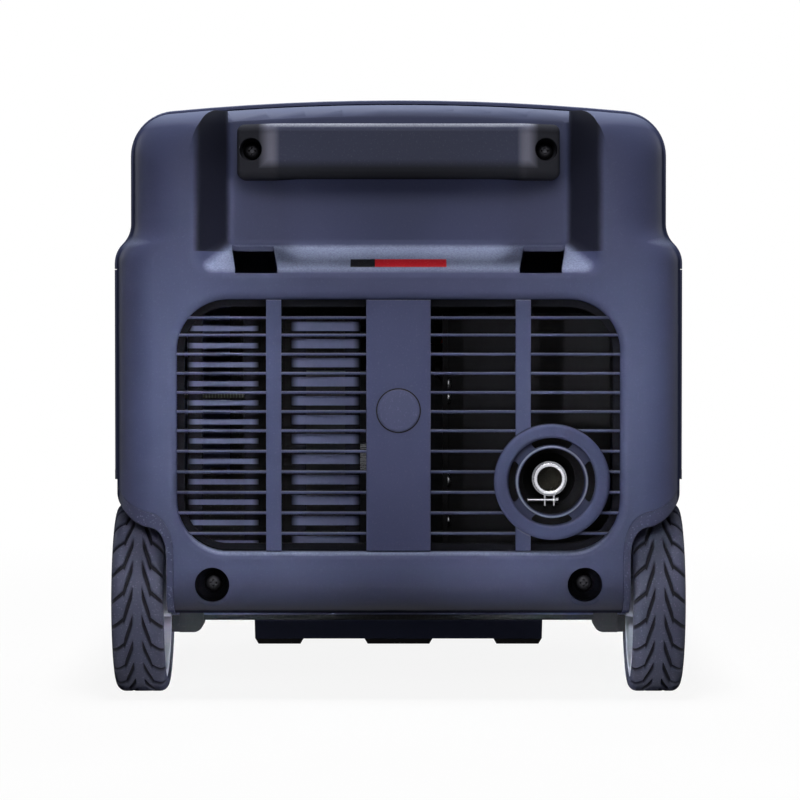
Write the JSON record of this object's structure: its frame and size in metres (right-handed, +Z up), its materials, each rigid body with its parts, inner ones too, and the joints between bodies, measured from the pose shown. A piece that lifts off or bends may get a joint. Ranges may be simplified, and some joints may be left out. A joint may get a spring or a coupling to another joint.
{
  "type": "portable generator",
  "caption": "Closed-case inverter generator with a louvred exhaust end, lifting bar, rear wheels, pull-out tow handle, recoil starter and control panel.",
  "frame": {"origin": "on the ground under the middle of the case", "axes": "+Z up, -Y the exhaust end, +Y the control panel end, +X the side nearer the exhaust outlet"},
  "size_m": [0.45, 0.6, 0.47],
  "materials": {
    "case_plastic": "fine moulded texture, dark blue-grey",
    "grille_plastic": "fine moulded texture, dark blue-grey",
    "handle_plastic": "moulded, slightly darker",
    "arch_liner": "smooth black moulding",
    "panel_plastic": "black moulding",
    "vent_plastic": "grey-black moulding",
    "start_plastic": "red push button",
    "lens": "clear coloured lens",
    "screw_steel": "zinc-plated",
    "tow_tube": "black powder coat",
    "tyre": "solid rubber",
    "rim_plastic": "blue-grey moulding",
    "foot_rubber": "soft rubber",
    "exhaust_steel": "heat-toned steel",
    "engine_alloy": "cast alloy",
    "crank_steel": "machined steel",
    "copper_winding": "lacquered copper",
    "inner_plastic": "black moulding",
    "plug_ceramic": "glazed ceramic",
    "starter_rope": "braided cord"
  },
  "bodies": {
    "root": {"rear_cover": "case_plastic", "rear_grille": "grille_plastic", "grille_baffle": "grille_plastic", "grille_cap": "grille_plastic", "rear_handle": "handle_plastic", "case_screws": "screw_steel", "exhaust_ring": "grille_plastic", "top_cover": "case_plastic", "side_cover_left": "case_plastic", "side_cover_right": "case_plastic", "base_tray": "case_plastic", "front_cover": "case_plastic", "control_panel": "panel_plastic", "wheel_arches": "arch_liner", "front_foot_pads": "foot_rubber", "axle": "screw_steel", "axle_brackets": "arch_liner", "axle_clips": "screw_steel", "handle_guide_tubes": "tow_tube", "fuel_tank": "inner_plastic", "muffler": "exhaust_steel", "tail_pipe": "exhaust_steel", "spark_arrester": "exhaust_steel", "arrester_clamp": "screw_steel", "muffler_shield": "exhaust_steel", "engine_block": "engine_alloy", "cylinder_head": "engine_alloy", "valve_cover": "engine_alloy", "spark_plug": "plug_ceramic", "carburettor": "engine_alloy", "air_filter_box": "inner_plastic", "stator": "copper_winding", "fan_shroud": "inner_plastic", "recoil_housing": "engine_alloy", "recoil_rope": "starter_rope", "inverter_module": "engine_alloy", "battery": "inner_plastic", "engine_mounts": "foot_rubber", "ac_sockets": "panel_plastic", "dc_socket": "panel_plastic", "indicator_lenses": "lens", "earth_terminal": "screw_steel"},
    "left_wheel": {"rim_left": "rim_plastic", "tyre_left": "tyre"},
    "right_wheel": {"rim_right": "rim_plastic", "tyre_right": "tyre"},
    "tow": {"tow_handle": "tow_tube", "tow_grip": "handle_plastic"},
    "release": {"release_button": "vent_plastic"},
    "cap": {"fuel_cap": "panel_plastic"},
    "vent": {"vent_knob": "vent_plastic"},
    "switch": {"engine_switch": "panel_plastic"},
    "starter": {"start_button": "start_plastic"},
    "eco": {"eco_rocker": "vent_plastic"},
    "breaker": {"breaker_button": "vent_plastic"},
    "pull": {"recoil_grip": "handle_plastic"},
    "reel": {"recoil_reel": "inner_plastic"},
    "crank": {"crankshaft": "crank_steel", "rotor": "crank_steel", "cooling_fan": "inner_plastic"}
  },
  "joints": [
    {"name": "left_wheel_spin", "type": "hinge", "parent": "root", "child": "left_wheel", "pos_m": [-0.2035, -0.225, 0.075], "axis": [1, 0, 0], "continuous": true},
    {"name": "right_wheel_spin", "type": "hinge", "parent": "root", "child": "right_wheel", "pos_m": [0.2035, -0.225, 0.075], "axis": [1, 0, 0], "continuous": true},
    {"name": "tow_handle_slide", "type": "slide", "parent": "root", "child": "tow", "axis": [0, 1, 0], "range_m": [0, 0.32]},
    {"name": "release_push", "type": "slide", "parent": "tow", "child": "release", "axis": [0, 0, -1], "range_m": [0, 0.004], "stiffness_N_per_m": 400, "springref_m": -0.001},
    {"name": "fuel_cap_turn", "type": "hinge", "parent": "root", "child": "cap", "pos_m": [0, 0.035, 0.45], "axis": [0, 0, 1], "range_deg": [0, 90]},
    {"name": "vent_knob_turn", "type": "hinge", "parent": "cap", "child": "vent", "pos_m": [0, 0.035, 0.466], "axis": [0, 0, 1], "range_deg": [0, 90]},
    {"name": "engine_switch_turn", "type": "hinge", "parent": "root", "child": "switch", "pos_m": [0.105, 0.291, 0.268], "axis": [0, 1, 0], "range_deg": [0, 100]},
    {"name": "start_push", "type": "slide", "parent": "root", "child": "starter", "axis": [0, -1, 0], "range_m": [0, 0.003], "stiffness_N_per_m": 500},
    {"name": "eco_rock", "type": "hinge", "parent": "root", "child": "eco", "pos_m": [0, 0.289, 0.268], "axis": [1, 0, 0], "range_deg": [-8, 8]},
    {"name": "breaker_push", "type": "slide", "parent": "root", "child": "breaker", "axis": [0, -1, 0], "range_m": [0, 0.0025], "stiffness_N_per_m": 500},
    {"name": "recoil_pull", "type": "slide", "parent": "root", "child": "pull", "axis": [-1, 0, 0], "range_m": [0, 0.6], "stiffness_N_per_m": 20},
    {"name": "recoil_reel_spin", "type": "hinge", "parent": "root", "child": "reel", "pos_m": [-0.03, 0.151, 0.18], "axis": [0, -1, 0], "range_deg": [0, 770]},
    {"name": "crank_spin", "type": "hinge", "parent": "root", "child": "crank", "pos_m": [-0.03, 0, 0.18], "axis": [0, 1, 0], "continuous": true}
  ],
  "couplings": [
    {"joint": "recoil_reel_spin", "follows": "recoil_pull", "rad_per_m": 22.222}
  ]
}
